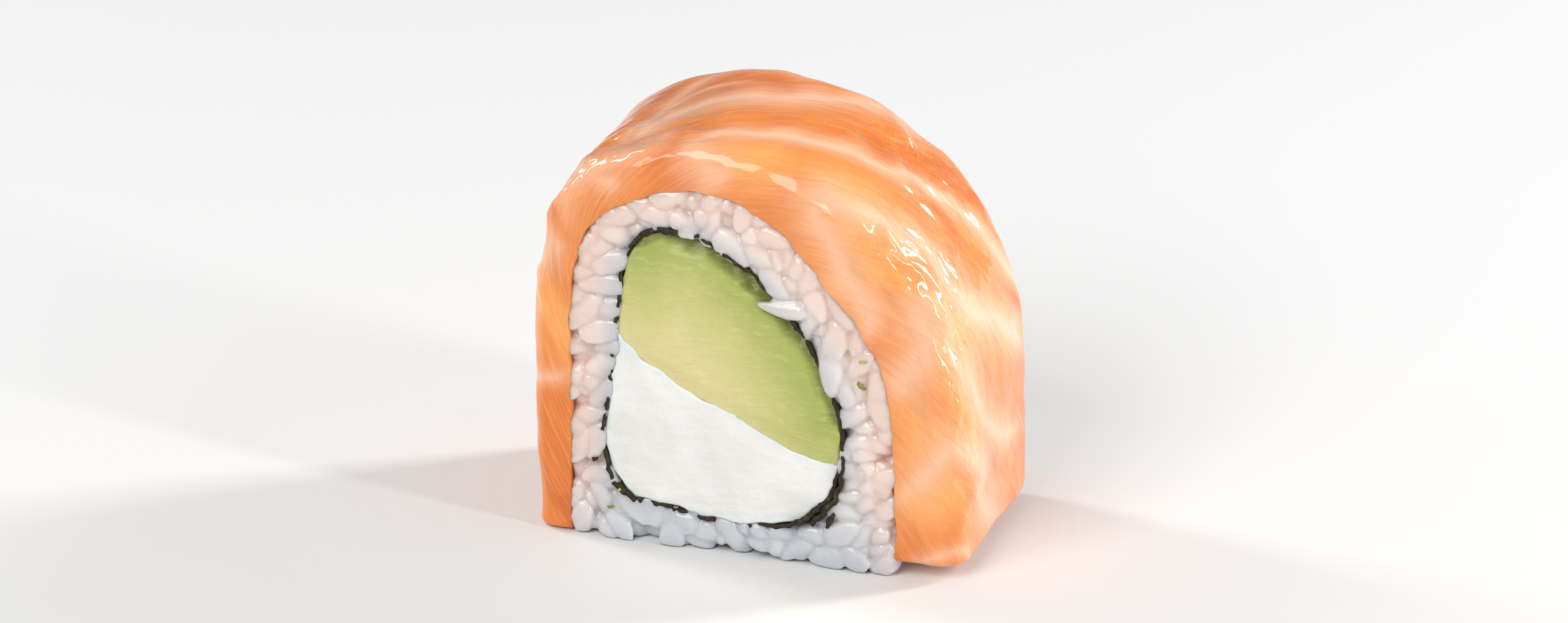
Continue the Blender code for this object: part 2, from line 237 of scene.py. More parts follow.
class Paint:
    """A material with one Principled shader, and short ways to add nodes to it."""

    def __init__(self, name, **constants):
        self.material = bpy.data.materials.new(name)
        self.material.use_nodes = True
        self.tree = self.material.node_tree
        self.shader = self.tree.nodes["Principled BSDF"]
        for key, value in constants.items():
            socket = key.replace("_", " ").title().replace("Ior", "IOR")
            self.shader.inputs[socket].default_value = value

    def node(self, kind, settings=None, inputs=None, output=0):
        made = self.tree.nodes.new(kind)
        for key, value in (settings or {}).items():
            setattr(made, key, value)
        for key, value in (inputs or {}).items():
            self.feed(made.inputs[key], value)
        return Wire(self, made.outputs[output])

    def feed(self, socket, value):
        if isinstance(value, Wire):
            self.tree.links.new(value.socket, socket)
        else:
            socket.default_value = value

    def maths(self, operation, one, other):
        return self.node("ShaderNodeMath", {"operation": operation}, {0: one, 1: other})

    def mix(self, share, low, high):
        """The colour low where share is 0 and high where it is 1."""
        low, high = (end if isinstance(end, Wire) else rgba(end) for end in (low, high))
        return self.node("ShaderNodeMix", {"data_type": "RGBA"}, {0: share, 6: low, 7: high}, output=2)

    def range(self, value, low, high, start=0.0, end=1.0):
        """The value's place between low and high, eased, as a number from start to end."""
        return self.node("ShaderNodeMapRange", {"interpolation_type": "SMOOTHSTEP"},
                         {0: value, 1: low, 2: high, 3: start, 4: end})

    def noise(self, where, scale, detail=3.0, roughness=0.5, distortion=0.0):
        return self.node("ShaderNodeTexNoise", None, {"Vector": where, "Scale": scale, "Detail": detail,
                                                      "Roughness": roughness, "Distortion": distortion})

    def drawn_out(self, where, sizes, detail=3.0, roughness=0.5, distortion=0.0):
        """Noise whose features have about the size given on each axis."""
        shares = self.node("ShaderNodeVectorMath", {"operation": "DIVIDE"}, {0: where, 1: sizes})
        return self.noise(shares, 1.0, detail, roughness, distortion)

    def place(self):
        """Where the surface is, in mm."""
        spot = self.node("ShaderNodeTexCoord", output="Object")
        return self.node("ShaderNodeVectorMath", {"operation": "SCALE"}, {0: spot, "Scale": 1 / MM})

    def value(self, name):
        return self.node("ShaderNodeAttribute", {"attribute_name": name}, output="Fac")

    def vector(self, name):
        return self.node("ShaderNodeAttribute", {"attribute_name": name}, output="Vector")

    def colour(self, wire):
        self.feed(self.shader.inputs["Base Color"], wire)

    def roughness(self, wire):
        self.feed(self.shader.inputs["Roughness"], wire)

    def bump(self, height, depth, strength=1.0):
        """Fine relief: height from 0 to 1 stands for depth in mm."""
        bumped = self.node("ShaderNodeBump", None, {"Strength": strength, "Distance": depth * MM,
                                                    "Height": height})
        self.feed(self.shader.inputs["Normal"], bumped)


def rgba(colour):
    return (*colour, 1.0)


# Salmon

SALMON_STATIONS = 430
OUTER_EDGE, INNER_EDGE, EDGE_WANDER = 3.0, 0.3, 0.35
FACE_STEPS, EDGE_STEPS, TOP_STEPS, UNDER_STEPS = 22, 16, 96, 6
SWELL, SWELL_SIZE = 0.35, 9.0
DENT, DENT_SIZE = 0.1, 3.2
GROOVE, STREAK, WRINKLE = 0.08, 0.05, 0.26
STREAK_SIZES = (7, 0.8, 9)
WRINKLE_SIZES = [(2.6, 0.8, 9), (1.2, 0.6, 9), (4.5, 2.0, 9)]
CREASE_SHARE, FINE_SHARE, BROAD_SHARE, SMOOTH_SKIN = 0.7, 0.4, 2.2, 0.12
FAT_SPREAD = 1.5
GRAIN_OF_FISH = math.radians(30)

# Both ends are rounded off over the height FOOT, down to FOOT_SHARE of their size, towards the middle of
# the section that is FOOT_REACH higher up
FOOT, FOOT_SHARE, FOOT_REACH = 0.9, 0.88, 4.0

# Fat lines: half-width, strength, and points on the unrolled fish, in mm along the arch from its left
# end and across from the front inner edge
FAT_LINES = [
    (1.0, 0.65, [(38, 6), (42, 9), (45, 16), (47, 24), (51, 26.5), (57, 26.5), (66, 29), (74, 33)]),
    (0.5, 0.6, [(40, 8), (44, 11), (45.5, 16), (48, 21), (54, 23)]),
    (1.7, 0.95, [(41, 8), (44.5, 9.5), (48, 15), (53.5, 18), (57.5, 20), (62, 24), (67, 27.5), (75, 31)]),
    (1.1, 1.0, [(50, 4), (52, 6), (57, 10), (64, 14), (70, 17.5), (75, 21.5), (80, 24), (86, 27),
                (93, 31)]),
    (1.7, 1.0, [(63, 5), (65.5, 5.3), (69, 7.2), (74.6, 10.2), (79, 13), (83.3, 13.5), (87, 16),
                (90, 20.5), (93, 25), (97, 30)]),
    (1.7, 0.85, [(65.5, 5.3), (70, 4.2), (74.6, 3.1), (79, 2.5), (83, 0.5)]),
    (2.6, 0.85, [(81, 9), (84.2, 6.4), (86.5, 5.9), (88, 3.7), (90, 0.5)]),
    (1.5, 0.85, [(84, 7), (86.5, 8.7), (89.3, 8.9), (92.7, 11.3), (97, 13.4), (100, 17), (102.3, 20.7),
                (104, 26)]),
    (1.9, 0.9, [(104, 0), (101.7, 2.2), (98.6, 5), (98, 6.7), (100.3, 9.6), (102.8, 12.2), (105, 12),
                (107.6, 14), (110, 18), (112, 22)]),
    (0.8, 0.7, [(112, 1), (110, 4.5), (109.5, 7.6), (111, 9.5)]),
    (2.3, 0.75, [(51.5, 6.5), (54.5, 4.2), (58, 1.6)]),
    # A broad pale band over the left shoulder: partly fat, partly a painted sheen of the wet surface
    (2.4, 0.65, [(35, 6), (40, 5.5), (45, 6), (51, 8)]),
    (1.6, 0.75, [(36.5, 8.5), (39.3, 7.3), (43.2, 4), (46, 2)]),
    (1.5, 0.8, [(24, 13), (26, 9), (29.4, 6.2), (35.6, 1.9)]),
    (0.7, 0.8, [(21.5, 0), (19, 2.2), (17, 4.2), (14, 9), (11, 15), (8, 22)]),
    (1.0, 0.85, [(34, 4), (29, 10), (23, 18), (17, 27), (14, 33)]),
    (0.7, 0.7, [(27, 6), (21, 13), (15, 21), (11, 28)]),
    (1.2, 0.8, [(40, 20), (34, 24), (28, 30), (25, 35)]),
    (1.4, 0.9, [(48, 29), (55, 32), (60, 37)]),
    (1.6, 0.9, [(74, 30), (81, 34), (86, 39)]),
    (1.3, 0.8, [(99, 29), (101, 34), (104, 40)]),
]

# Places (along, across, reach) where the flesh is paler, and where the wet skin is finely wrinkled
PALE_FLESH = [(76, 6, 8), (86, 10, 8), (96, 6, 8), (103, 5, 5), (60, 6, 5), (71, 8, 8), (26, 3, 6)]
WRINKLED = [(41, 8, 7), (31, 6, 6), (50, 8, 4), (71, 24, 7), (77, 8, 5), (82, 11, 6), (88, 9, 6),
            (94, 8, 6), (101, 9, 5)]


def quarter(steps):
    return np.radians(np.linspace(0, 90, steps + 1))


def between(start, end, steps):
    """Places from start to end, without the two ends."""
    share = np.arange(1, steps)[:, None] / steps
    return np.array(start) + share * (np.array(end) - np.array(start))


def salmon_profile(thickness):
    """The slab's section at one station, as (Y, distance from its inner side), from the front edge."""
    edge, low = min(OUTER_EDGE, 0.48 * thickness), INNER_EDGE
    side, inner, top = HALF_SLICE - edge, HALF_SLICE - INNER_EDGE, thickness - edge
    fine, round_edge = quarter(EDGE_STEPS // 2), quarter(EDGE_STEPS)
    return np.vstack([
        np.column_stack([-inner - low * np.sin(fine), low - low * np.cos(fine)]),
        between((-HALF_SLICE, low), (-HALF_SLICE, top), FACE_STEPS),
        np.column_stack([-side - edge * np.cos(round_edge), top + edge * np.sin(round_edge)]),
        between((-side, thickness), (side, thickness), TOP_STEPS),
        np.column_stack([side + edge * np.sin(round_edge), top + edge * np.cos(round_edge)]),
        between((HALF_SLICE, top), (HALF_SLICE, low), FACE_STEPS),
        np.column_stack([inner + low * np.cos(fine), low - low * np.sin(fine)]),
        between((inner, 0), (-inner, 0), UNDER_STEPS),
    ])


def salmon_grid():
    """The slab's points by station and place round its section, and each one's place on the unrolled fish:
    distance along the arch, and distance across from the front inner edge."""
    outer = respaced(curve_through(SALMON_OUTER), SALMON_STATIONS)
    inner = respaced(curve_through(SALMON_INNER), SALMON_STATIONS)
    wander = EDGE_WANDER * rough(with_third(inner), 2.2, 12)
    inner = inner + (outer - inner) / np.linalg.norm(outer - inner, axis=1)[:, None] * wander[:, None]
    step = np.linalg.norm(outer[1] - outer[0])
    points, unrolled = [], []
    for k, (out, into) in enumerate(zip(outer, inner)):
        thickness = np.linalg.norm(out - into)
        across = (out - into) / thickness
        y, depth = salmon_profile(thickness).T
        round_it = np.concatenate([[0], np.cumsum(np.hypot(np.diff(y), np.diff(depth)))])
        points.append(upright(into + depth[:, None] * across, y))
        unrolled.append(np.column_stack([np.full(len(y), k * step), round_it]))
    return np.array(points), np.array(unrolled)


def grid_normals(points):
    """Outward normals of a grid whose columns wrap round."""
    along = np.gradient(points, axis=0)
    round_it = np.roll(points, -1, axis=1) - np.roll(points, 1, axis=1)
    normal = np.cross(round_it, along)
    normal /= np.maximum(np.linalg.norm(normal, axis=2, keepdims=True), 1e-9)
    middle = points.mean(axis=1, keepdims=True)
    return normal * np.sign(np.sum(normal * (points - middle)))


def fat_at(unrolled):
    """How fatty the fish is at each unrolled place, from 0 to 1, and how near the middle of a line."""
    fat, core = np.zeros(len(unrolled)), np.zeros(len(unrolled))
    wander = rough(with_third(unrolled), 4.0, 3)
    shift = np.column_stack([wander, rough(with_third(unrolled), 5.0, 4)]) * 0.5
    for width, strength, line in FAT_LINES:
        away, share = distance_to(curve_through(line, steps=8), unrolled + shift)
        ends = np.clip(np.minimum(share, 1 - share) * 6 + 0.2, 0, 1)
        wide = FAT_SPREAD * width * (1 + 0.3 * wander)
        fat = np.maximum(fat, 0.9 * strength * ends * np.exp(-((away / wide) ** 2)))
        core = np.maximum(core, strength * ends * np.exp(-((away / (0.35 * wide)) ** 2)))
    return fat, core


def patches(spots, places):
    """How far each place is inside one of the spots, from 0 to 1."""
    inside = np.zeros(len(places))
    for x, y, reach in spots:
        away = np.linalg.norm(places - (x, y), axis=1)
        inside = np.maximum(inside, np.exp(-((away / reach) ** 2)))
    return inside


def salmon_relief(flat, sheet, fibres, core, wrinkled):
    """How far each point of the wet surface stands out, in mm."""
    height = SWELL * rough(flat, SWELL_SIZE) + DENT * rough(flat, DENT_SIZE, 1)
    height += STREAK * rough(fibres / STREAK_SIZES, 1.0, 2)
    place = with_third(sheet, flat[:, 2])
    creases, fine, broad = (rough(place / sizes, 1.0, 5 + k) for k, sizes in enumerate(WRINKLE_SIZES))
    folded = CREASE_SHARE * np.abs(creases) + FINE_SHARE * fine + BROAD_SHARE * broad
    return height + WRINKLE * (SMOOTH_SKIN + wrinkled) * folded - GROOVE * core


def build_salmon(look):
    points, unrolled = salmon_grid()
    stations, around = points.shape[:2]
    normal = grid_normals(points).reshape(-1, 3)
    flat, sheet = points.reshape(-1, 3), unrolled.reshape(-1, 2)
    fat, core = fat_at(sheet)
    c, s = math.cos(GRAIN_OF_FISH), math.sin(GRAIN_OF_FISH)
    fibres = np.column_stack([sheet @ (c, s), sheet @ (-s, c), flat[:, 1]])
    moved = flat + normal * salmon_relief(flat, sheet, fibres, core, patches(WRINKLED, sheet))[:, None]
    points = moved.reshape(stations, around, 3)
    for end, inward in ((0, 1), (stations - 1, -1)):
        floor = SALMON_INNER[0 if end == 0 else -1][1]
        own = [end + inward * k for k in range(stations // 4)]
        rows = [row for row in own if np.median(points[row, :, 2]) < floor + FOOT_REACH]
        middle = points[rows[-1]].mean(axis=0)
        for row in rows:
            lift = np.clip((np.median(points[row, :, 2]) - floor) / FOOT, 0, 1)
            share = FOOT_SHARE + (1 - FOOT_SHARE) * math.sqrt(1 - (1 - lift) ** 2)
            points[row, :, :2] = middle[:2] + (points[row, :, :2] - middle[:2]) * share
        points[:, :, 2] = np.maximum(points[:, :, 2], 0)
        points[end, :, 2] = floor
    faces = grid_faces(stations, around, wrap_columns=True).tolist()
    faces.append(list(range(around)))
    faces.append(list(range((stations - 1) * around, stations * around)))
    made = piece("salmon_slab", points.reshape(-1, 3), faces, "salmon")
    keep_value(made, "fat", fat)
    keep_value(made, "line", core)
    keep_value(made, "pale", patches(PALE_FLESH, sheet))
    keep_value(made, "wrinkled", patches(WRINKLED, sheet))
    keep_vector(made, "fibres", fibres)
    made.data.materials.append(salmon_finish(look))


def salmon_finish(look):
    paint = Paint("raw_salmon", subsurface_weight=0.3, subsurface_scale=0.0015, coat_weight=0.8,
                  coat_roughness=0.06, specular_ior_level=0.2)
    paint.shader.inputs["Subsurface Radius"].default_value = (1.0, 0.45, 0.25)
    where = paint.vector("fibres")
    strand = paint.drawn_out(where, (8, 0.42, 3), 5, 0.6, 0.4)
    flake = paint.drawn_out(where, (9, 2.4, 9), 3, 0.5, 0.6)
    cloud = paint.drawn_out(where, (11, 7, 11), 3, 0.5)
    flesh = paint.mix(paint.range(cloud, 0.32, 0.68), look.deep, look.flesh)
    flesh = paint.mix(paint.range(flake, 0.4, 0.75) * 0.5, flesh, look.flesh)
    pale = paint.value("pale") * paint.range(flake, 0.25, 0.6, 0.55, 1.0)
    flesh = paint.mix(pale * 0.85, flesh, look.light)
    flesh = paint.mix(paint.range(strand, 0.45, 0.75) * 0.35, flesh, look.light)
    flesh = paint.mix(paint.range(strand, 0.2, 0.42, 0.2, 0.0), flesh, look.deep)
    share = paint.value("fat") * paint.range(strand, 0.25, 0.6, 0.7, 1.0)
    fatty = paint.mix(share, flesh, look.fat)
    fine = paint.drawn_out(where, (5, 0.16, 3), 3, 0.6, 0.3)
    fatty = paint.mix(paint.range(fine, 0.52, 0.72) * 0.3, fatty, look.fat)
    fatty = paint.mix(paint.range(fine, 0.28, 0.46, 0.22, 0.0), fatty, look.deep)
    paint.colour(paint.mix(paint.value("line") * 0.3, fatty, look.line))
    paint.roughness(paint.range(strand, 0.2, 0.8, 0.3, 0.42))
    wrinkle = paint.drawn_out(where, (2.2, 0.3, 2), 4, 0.65)
    crease = paint.drawn_out(where, (0.45, 1.2, 2), 3, 0.6)
    paint.bump((wrinkle * 0.5 + crease * 0.5) * (paint.value("wrinkled") * 1.2 + 0.3), 0.2, 0.9)
    return paint.material


# Filling

OUTLINE_POINTS = 220
CAP_RINGS, BACK_RINGS = 44, 24
EDGE_TURNS, SIDE_ROWS = 5, 8
FILLING_EDGE = 0.4
REACH, CROWN_REACH = 0.15, 4.0
BEVEL_REACH, BEVEL_DEPTH = 2.3, 1.1
AVOCADO_HEART, CHEESE_HEART = (-3.5, 22.0), (-6.5, 9.5)

# Small pits in the avocado's face: middle (X, Z) and reach
NICK_DEPTH = 0.3
NICKS = [(-0.5, 29.2, 0.5), (0.4, 28.9, 0.35), (5.4, 24.2, 0.45), (-1.6, 29.4, 0.3)]


def filling_rims(count):
    """The filling's outline in two stretches, round the cheese and round the avocado."""
    loop = curve_through(CHEESE_RIM + AVOCADO_RIM, closed=True)
    split = len(loop) * len(CHEESE_RIM) // (len(CHEESE_RIM) + len(AVOCADO_RIM))
    return respaced(loop[: split + 1], count), respaced(np.vstack([loop[split:], loop[:1]]), count)


def filling_solid(rim, seam, heart, half, dome, relief, wobble):
    """Points and faces of a bar along Y with the outline's shape, crowned and rough on both cut faces.
    The whole outline is in sight of its heart."""
    outline = respaced(np.vstack([rim, seam]), OUTLINE_POINTS, closed=True)
    edge_noise = rough(with_third(outline), 1.8, 5)
    outline = outline + outward(outline) * (REACH + wobble * edge_noise)[:, None]
    middle = np.array(heart)
    inward = (middle - outline) / np.linalg.norm(middle - outline, axis=1)[:, None]

    def cap(side, rings):
        """A cut face's rings from the middle out, then the rounded edge."""
        inset = outline + inward * FILLING_EDGE
        made = []
        for share in np.sqrt(np.linspace(0, 1, rings + 1))[1:]:
            spots = middle + (inset - middle) * share
            crown = smooth_step(0, CROWN_REACH, distance_to(rim, spots)[0])
            crown *= dome * smooth_step(0, CROWN_REACH / 2, distance_to(seam, spots)[0])
            made.append(upright(spots, side * (half + crown + relief(spots, side))))
        rim_y = made[-1][:, 1]
        for a in quarter(EDGE_TURNS)[1:]:
            spots = outline + inward * FILLING_EDGE * (1 - math.sin(a))
            made.append(upright(spots, rim_y - side * FILLING_EDGE * (1 - math.cos(a))))
        return made

    sides = [upright(outline, y) for y in np.linspace(-half, half, SIDE_ROWS)[1:-1]]
    rows = cap(-1, CAP_RINGS) + sides + cap(1, BACK_RINGS)[::-1]
    points = np.vstack(rows)
    count = len(outline)
    faces = grid_faces(len(rows), count, wrap_columns=True).tolist()
    for first, side in ((0, -1), (len(points) - count, 1)):
        tip = len(points)
        points = np.vstack([points, points[first : first + count].mean(axis=0)])
        faces += [[first + k, first + (k + 1) % count, tip] for k in range(count)]
    return points, faces


def build_avocado(look):
    _, rim = filling_rims(OUTLINE_POINTS)
    seam = curve_through(SEAM)[::-1][1:-1]
    skin_side = curve_through(AVOCADO_RIM[2:])

    def bevel(spots):
        """How far down the bevel under the skin each place is, from 0 to 1."""
        depth, along = distance_to(skin_side, spots)
        shape = smooth_step(0.02, 0.2, along) * (1 - 0.75 * smooth_step(0.55, 0.85, along))
        wander = 0.5 * rough(with_third(spots, spots[:, 0]), 1.6, 9)
        return shape * (1 - smooth_step(0, BEVEL_REACH, depth + wander))

    def relief(spots, side):
        flat = with_third(spots, side * 9.0)
        height = 0.14 * rough(flat, 5.0, 1) + 0.05 * rough(flat, 1.2, 2) + 0.025 * rough(flat, 0.5, 4)
        x, z = spots.T
        drag = np.column_stack([(x * 0.9 + z * 0.4) / 5, (z * 0.9 - x * 0.4) / 0.5])
        height += 0.05 * rough(with_third(drag, side), 1.0, 3)
        for nick_x, nick_z, reach in NICKS:
            height -= NICK_DEPTH * np.exp(-((x - nick_x) ** 2 + (z - nick_z) ** 2) / reach**2)
        return height - BEVEL_DEPTH * bevel(spots)

    points, faces = filling_solid(rim, seam, AVOCADO_HEART, half=HALF_SLICE - 0.2, dome=0.3,
                                  relief=relief, wobble=0.1)
    made = piece("avocado_wedge", points, faces, "avocado")
    keep_value(made, "rim", distance_to(skin_side, points[:, [0, 2]])[0])
    # The bevel's depth, by which the material also paints shade on the slope
    keep_value(made, "bevel", bevel(points[:, [0, 2]]))
    made.data.materials.append(avocado_finish(look))


def avocado_finish(look):
    paint = Paint("avocado_flesh", subsurface_weight=0.25, subsurface_scale=0.0015, coat_weight=0.25,
                  coat_roughness=0.15)
    where = paint.place()
    cloud = paint.drawn_out(where, (4, 6, 4), 4, 0.55)
    depth = paint.value("rim") + (cloud - 0.5) * 3.5
    flesh = paint.mix(paint.range(depth, 0.5, 6.5), look.green, look.middle)
    flesh = paint.mix(paint.range(depth, 4.5, 12), flesh, look.yellow)
    under_skin = paint.range(paint.value("rim") + cloud - 0.5, 0.3, 1.0, 0.8, 0.0)
    flesh = paint.mix(under_skin, flesh, look.rim)
    # Partly the flesh's own dark green under the skin, partly painted shade on the bevel that slopes away
    # under it
    shade = paint.range(paint.value("bevel") + (cloud - 0.5) * 0.3, 0.15, 0.7, 0.0, 0.9)
    flesh = paint.mix(shade, flesh, look.rim)
    # Yellow flecks: partly the flesh's own, partly painted glints; the same noise roughens and dents the
    # face
    fleck_and_glint = paint.drawn_out(where, (1.6, 1.6, 0.5), 6, 0.7, 0.5)
    paint.colour(paint.mix(paint.range(fleck_and_glint, 0.48, 0.75) * 0.4, flesh, look.yellow))
    paint.roughness(paint.range(fleck_and_glint, 0.3, 0.7, 0.34, 0.5))
    paint.bump(fleck_and_glint, 0.25, 0.6)
    return paint.material


def build_cream_cheese(look):
    rim, _ = filling_rims(OUTLINE_POINTS)
    seam = curve_through(SEAM)[1:-1]

    def relief(spots, side):
        flat = with_third(spots, side * 5.0)
        height = 0.2 * rough(flat, 6.0, 4) + 0.09 * rough(flat, 1.7, 5) + 0.03 * rough(flat, 0.7, 7)
        x, z = spots.T
        smear = np.column_stack([(x + 0.35 * z) / 4.5, (z - 0.35 * x) / 0.8])
        return height + 0.06 * np.abs(rough(with_third(smear, side), 1.0, 6))

    points, faces = filling_solid(rim, seam, CHEESE_HEART, half=HALF_SLICE - 0.15, dome=0.2,
                                  relief=relief, wobble=0.4)
    made = piece("cream_cheese_bar", points, faces, "cream_cheese")
    made.data.materials.append(cheese_finish(look))


def cheese_finish(look):
    paint = Paint("fresh_cheese", subsurface_weight=0.4, subsurface_scale=0.002, coat_weight=0.05,
                  coat_roughness=0.3)
    where = paint.place()
    cloud = paint.drawn_out(where, (5, 5, 5), 3, 0.5)
    paint.colour(paint.mix(paint.range(cloud, 0.35, 0.7), look.shade, look.white))
    smear = paint.drawn_out(where, (2.2, 2.2, 0.7), 5, 0.6)
    paint.roughness(paint.range(smear, 0.3, 0.7, 0.42, 0.6))
    paint.bump(smear, 0.2, 0.5)
    return paint.material


# Nori

NORI_LOOP, NORI_STATIONS, NORI_ACROSS = 600, 640, 22
NORI_GAP, NORI_THICKNESS, NORI_HALF = 0.1, 0.32, 11.85
LAP, LAP_RISE, LAP_LIFT = 0.075, 0.05, 0.42
CRINKLE, FINE_CRINKLE, CRINKLE_SIZES = 0.28, 0.18, (1.3, 3.2)

# The ragged edge: depth, size and seed of each noise
RAGGED = [(0.6, 2.0, 6), (0.3, 0.5, 7)]

# Places (X, Z, reach) on the face where the sheet is bunched up, the room that it takes there, how far
# its edge stands out, and how much more crinkled and thicker it is
BUNCHED = [(-12.2, 5.4, 2.2), (7.4, 6.6, 3.0), (-9, 33.9, 2.0)]
BUNCH_ROOM, BUNCH_EDGE, BUNCH_CRINKLE, BUNCH_THICKER = 0.25, 0.25, 0.5, 0.9


def filling_loop(count):
    """The filling's closed outline, from the seam's right end, and its outward normals."""
    cheese, avocado = filling_rims(count)
    loop = respaced(np.vstack([cheese[:-1], avocado[:-1]]), count, closed=True)
    return loop, outward(loop)


def build_nori(look):
    loop, normal = filling_loop(NORI_LOOP)
    shares = np.linspace(0, 1 + LAP, NORI_STATIONS)
    at = (shares % 1.0) * len(loop)
    low, t = at.astype(int), (at % 1.0)[:, None]
    high = (low + 1) % len(loop)
    centre = loop[low % len(loop)] * (1 - t) + loop[high] * t
    out = normal[low % len(loop)] * (1 - t) + normal[high] * t
    lift = NORI_GAP + LAP_LIFT * smooth_step(1 - LAP_RISE, 1, shares)
    across = np.linspace(-1, 1, NORI_ACROSS + 1)
    length = shares * np.linalg.norm(np.diff(loop, axis=0), axis=1).sum()
    rag = sum(depth * rough(np.outer(length / size, (1, 0, 0)), 1.0, seed)
              for depth, size, seed in RAGGED)
    bunch = patches(BUNCHED, centre)
    rows = []
    for k in range(NORI_STATIONS):
        y = across * (NORI_HALF + rag[k] + BUNCH_EDGE * bunch[k])
        spots = with_third(np.column_stack([np.full(len(y), length[k]), y]) / CRINKLE_SIZES)
        crinkle = CRINKLE * rough(spots, 1.0, 8) + FINE_CRINKLE * rough(spots * 2.3, 1.0, 9)
        inner = lift[k] + crinkle * (1 + BUNCH_CRINKLE * bunch[k])
        thickness = NORI_THICKNESS * (1 + BUNCH_THICKER * bunch[k])
        near, far = (upright(centre[k] + out[k] * away[:, None], y)
                     for away in (inner, inner + thickness))
        rows.append(np.vstack([near, far[::-1]]))
    around = len(rows[0])
    faces = grid_faces(len(rows), around, wrap_columns=True).tolist()
    faces += [list(range(around)), list(range((len(rows) - 1) * around, len(rows) * around))]
    made = piece("nori_sheet", np.vstack(rows), faces, "nori")
    made.data.materials.append(nori_finish(look))


def nori_finish(look):
    paint = Paint("nori_seaweed", coat_weight=0.15, coat_roughness=0.25, specular_ior_level=0.2)
    where = paint.place()
    cloud = paint.noise(where, 1.4, 5, 0.65)
    paint.colour(paint.mix(paint.range(cloud, 0.45, 0.75), look.dark, look.olive))
    paint.roughness(paint.range(cloud, 0.3, 0.7, 0.35, 0.65))
    paint.bump(paint.noise(where, 3.5, 5, 0.7), 0.2, 0.8)
    return paint.material


# Rice

RICE_SEED = 7
GRAIN_LENGTH, GRAIN_WIDTH, GRAIN_BEND = 5.8, 3.0, 0.35
LENGTH_RANGE, WIDTH_RANGE, THICK_RANGE = (0.8, 1.12), (0.84, 1.08), (0.78, 0.98)
GRAIN_SIDES, GRAIN_BANDS = 12, 10

# The ring's outlines, and how far they give way to the grains
ARCH_POINTS, BASE_POINTS, HOLE_POINTS, CORE_POINTS = 90, 30, 240, 100
NORI_ROOM, HOLE_WANDER = 0.3, 0.4
OUTER_GIVE, HOLE_GIVE = 0.75, 0.5
CORE_HALF, CORE_INSET, CORE_HOLE_INSET = 9.6, 0.7, 0.1

# Grains by layer, and how deep each layer's middles lie
SPOTS_TRIED = 7000
FACE_GRAINS, INNER_GRAINS, UNDER_GRAINS = 66, 130, 85
FACE_DEPTH, INNER_DEPTH, DEPTH_RANGE = 11.05, 10.3, (-0.35, 0.3)
UNDER_HEIGHT, UNDER_RANGE, UNDER_INSET, UNDER_LEAN = 1.2, (-0.1, 0.25), 1.3, 0.1
GRAIN_EDGE = 0.36 * GRAIN_WIDTH
OUTER_CLEAR, HOLE_CLEAR, LOWEST_GRAIN = 0.4 * GRAIN_EDGE, 0.75 * GRAIN_EDGE, 1.2

# Turn from the ring's run and lean out of the cut face, in radians. Grains below LOW_RICE lie flatter
LOW_RICE = 5
LOW_TURN, SIDE_TURN, TURN_SPREAD = 0.4, 0.8, 0.7
LOW_LEAN, FACE_LEAN, INNER_LEAN = 0.7, 0.25, 0.6

# The knife's cut, and how far grains that press into the fish are tucked in behind it
CUT_FACE, CUT_SOFTNESS, TUCK, TUCK_OVER = 12.15, 0.6, 0.9, (0.1, 0.6)
LOWEST_POINT = 0.02

# The skin that the grains grow into, the share of its faces that is kept, and the lines carved in it
SKIN_VOXEL, SKIN_SOFTENING, SKIN_KEPT = 0.22, 1, 0.51
MEETING, MEETING_DEPTH = 0.15, 0.15

# The grain that reaches over the avocado on the front face: its middle and its direction
REACHING_GRAIN = (4.0, -11.9, 27.2), (1.0, 0.1, -0.1)


def rice_outlines():
    """The closed outlines that the rice keeps inside and outside of."""
    arch = respaced(curve_through(SALMON_INNER), ARCH_POINTS)
    arch[0, 1] = arch[-1, 1] = 0.0
    outer = np.vstack([arch, np.linspace(arch[-1], arch[0], BASE_POINTS)[1:-1]])
    loop, normal = filling_loop(HOLE_POINTS)
    share = np.arange(len(loop)) / len(loop)
    near = np.where(share > 0.5, smooth_step(1 - 2 * LAP_RISE, 1 - LAP_RISE, share),
                    1 - smooth_step(LAP, LAP + LAP_RISE, share))
    wander = HOLE_WANDER * rough(with_third(loop), 1.9, 8)
    room = NORI_ROOM + wander + LAP_LIFT * near + BUNCH_ROOM * patches(BUNCHED, loop)
    return outer, loop + normal * room[:, None]


def nearest_on(outline, points):
    """For each point, the nearest place on a closed outline, its distance, and whether it is inside."""
    start, run = outline, np.roll(outline, -1, axis=0) - outline
    best, away, inside = [], [], []
    for some in np.array_split(points, max(1, len(points) // 4000)):
        t = np.einsum("pij,ij->pi", some[:, None] - start, run) / np.sum(run**2, axis=1)
        place = start + run * np.clip(t, 0, 1)[..., None]
        far = np.linalg.norm(some[:, None] - place, axis=2)
        rows, nearest = np.arange(len(some)), far.argmin(axis=1)
        x, z = some[:, 0, None], some[:, 1, None]
        rises = (start[:, 1] > z) != ((start + run)[:, 1] > z)
        level = np.where(run[:, 1] == 0, 1, run[:, 1])
        crosses = rises & (x < run[:, 0] * (z - start[:, 1]) / level + start[:, 0])
        best.append(place[rows, nearest])
        away.append(far[rows, nearest])
        inside.append(crosses.sum(axis=1) % 2 == 1)
    return np.vstack(best), np.concatenate(away), np.concatenate(inside)


def pressed_in(points, outer, hole):
    """Points (X, Z) beyond outer or inside hole pressed back, the more the further out they are."""
    for outline, wants_inside, give in ((outer, True, OUTER_GIVE), (hole, False, HOLE_GIVE)):
        place, away, inside = nearest_on(outline, points)
        pressed = place + (points - place) * (give * np.tanh(away / give) / np.maximum(away, 1e-9))[:, None]
        points = np.where((inside != wants_inside)[:, None], pressed, points)
    return points


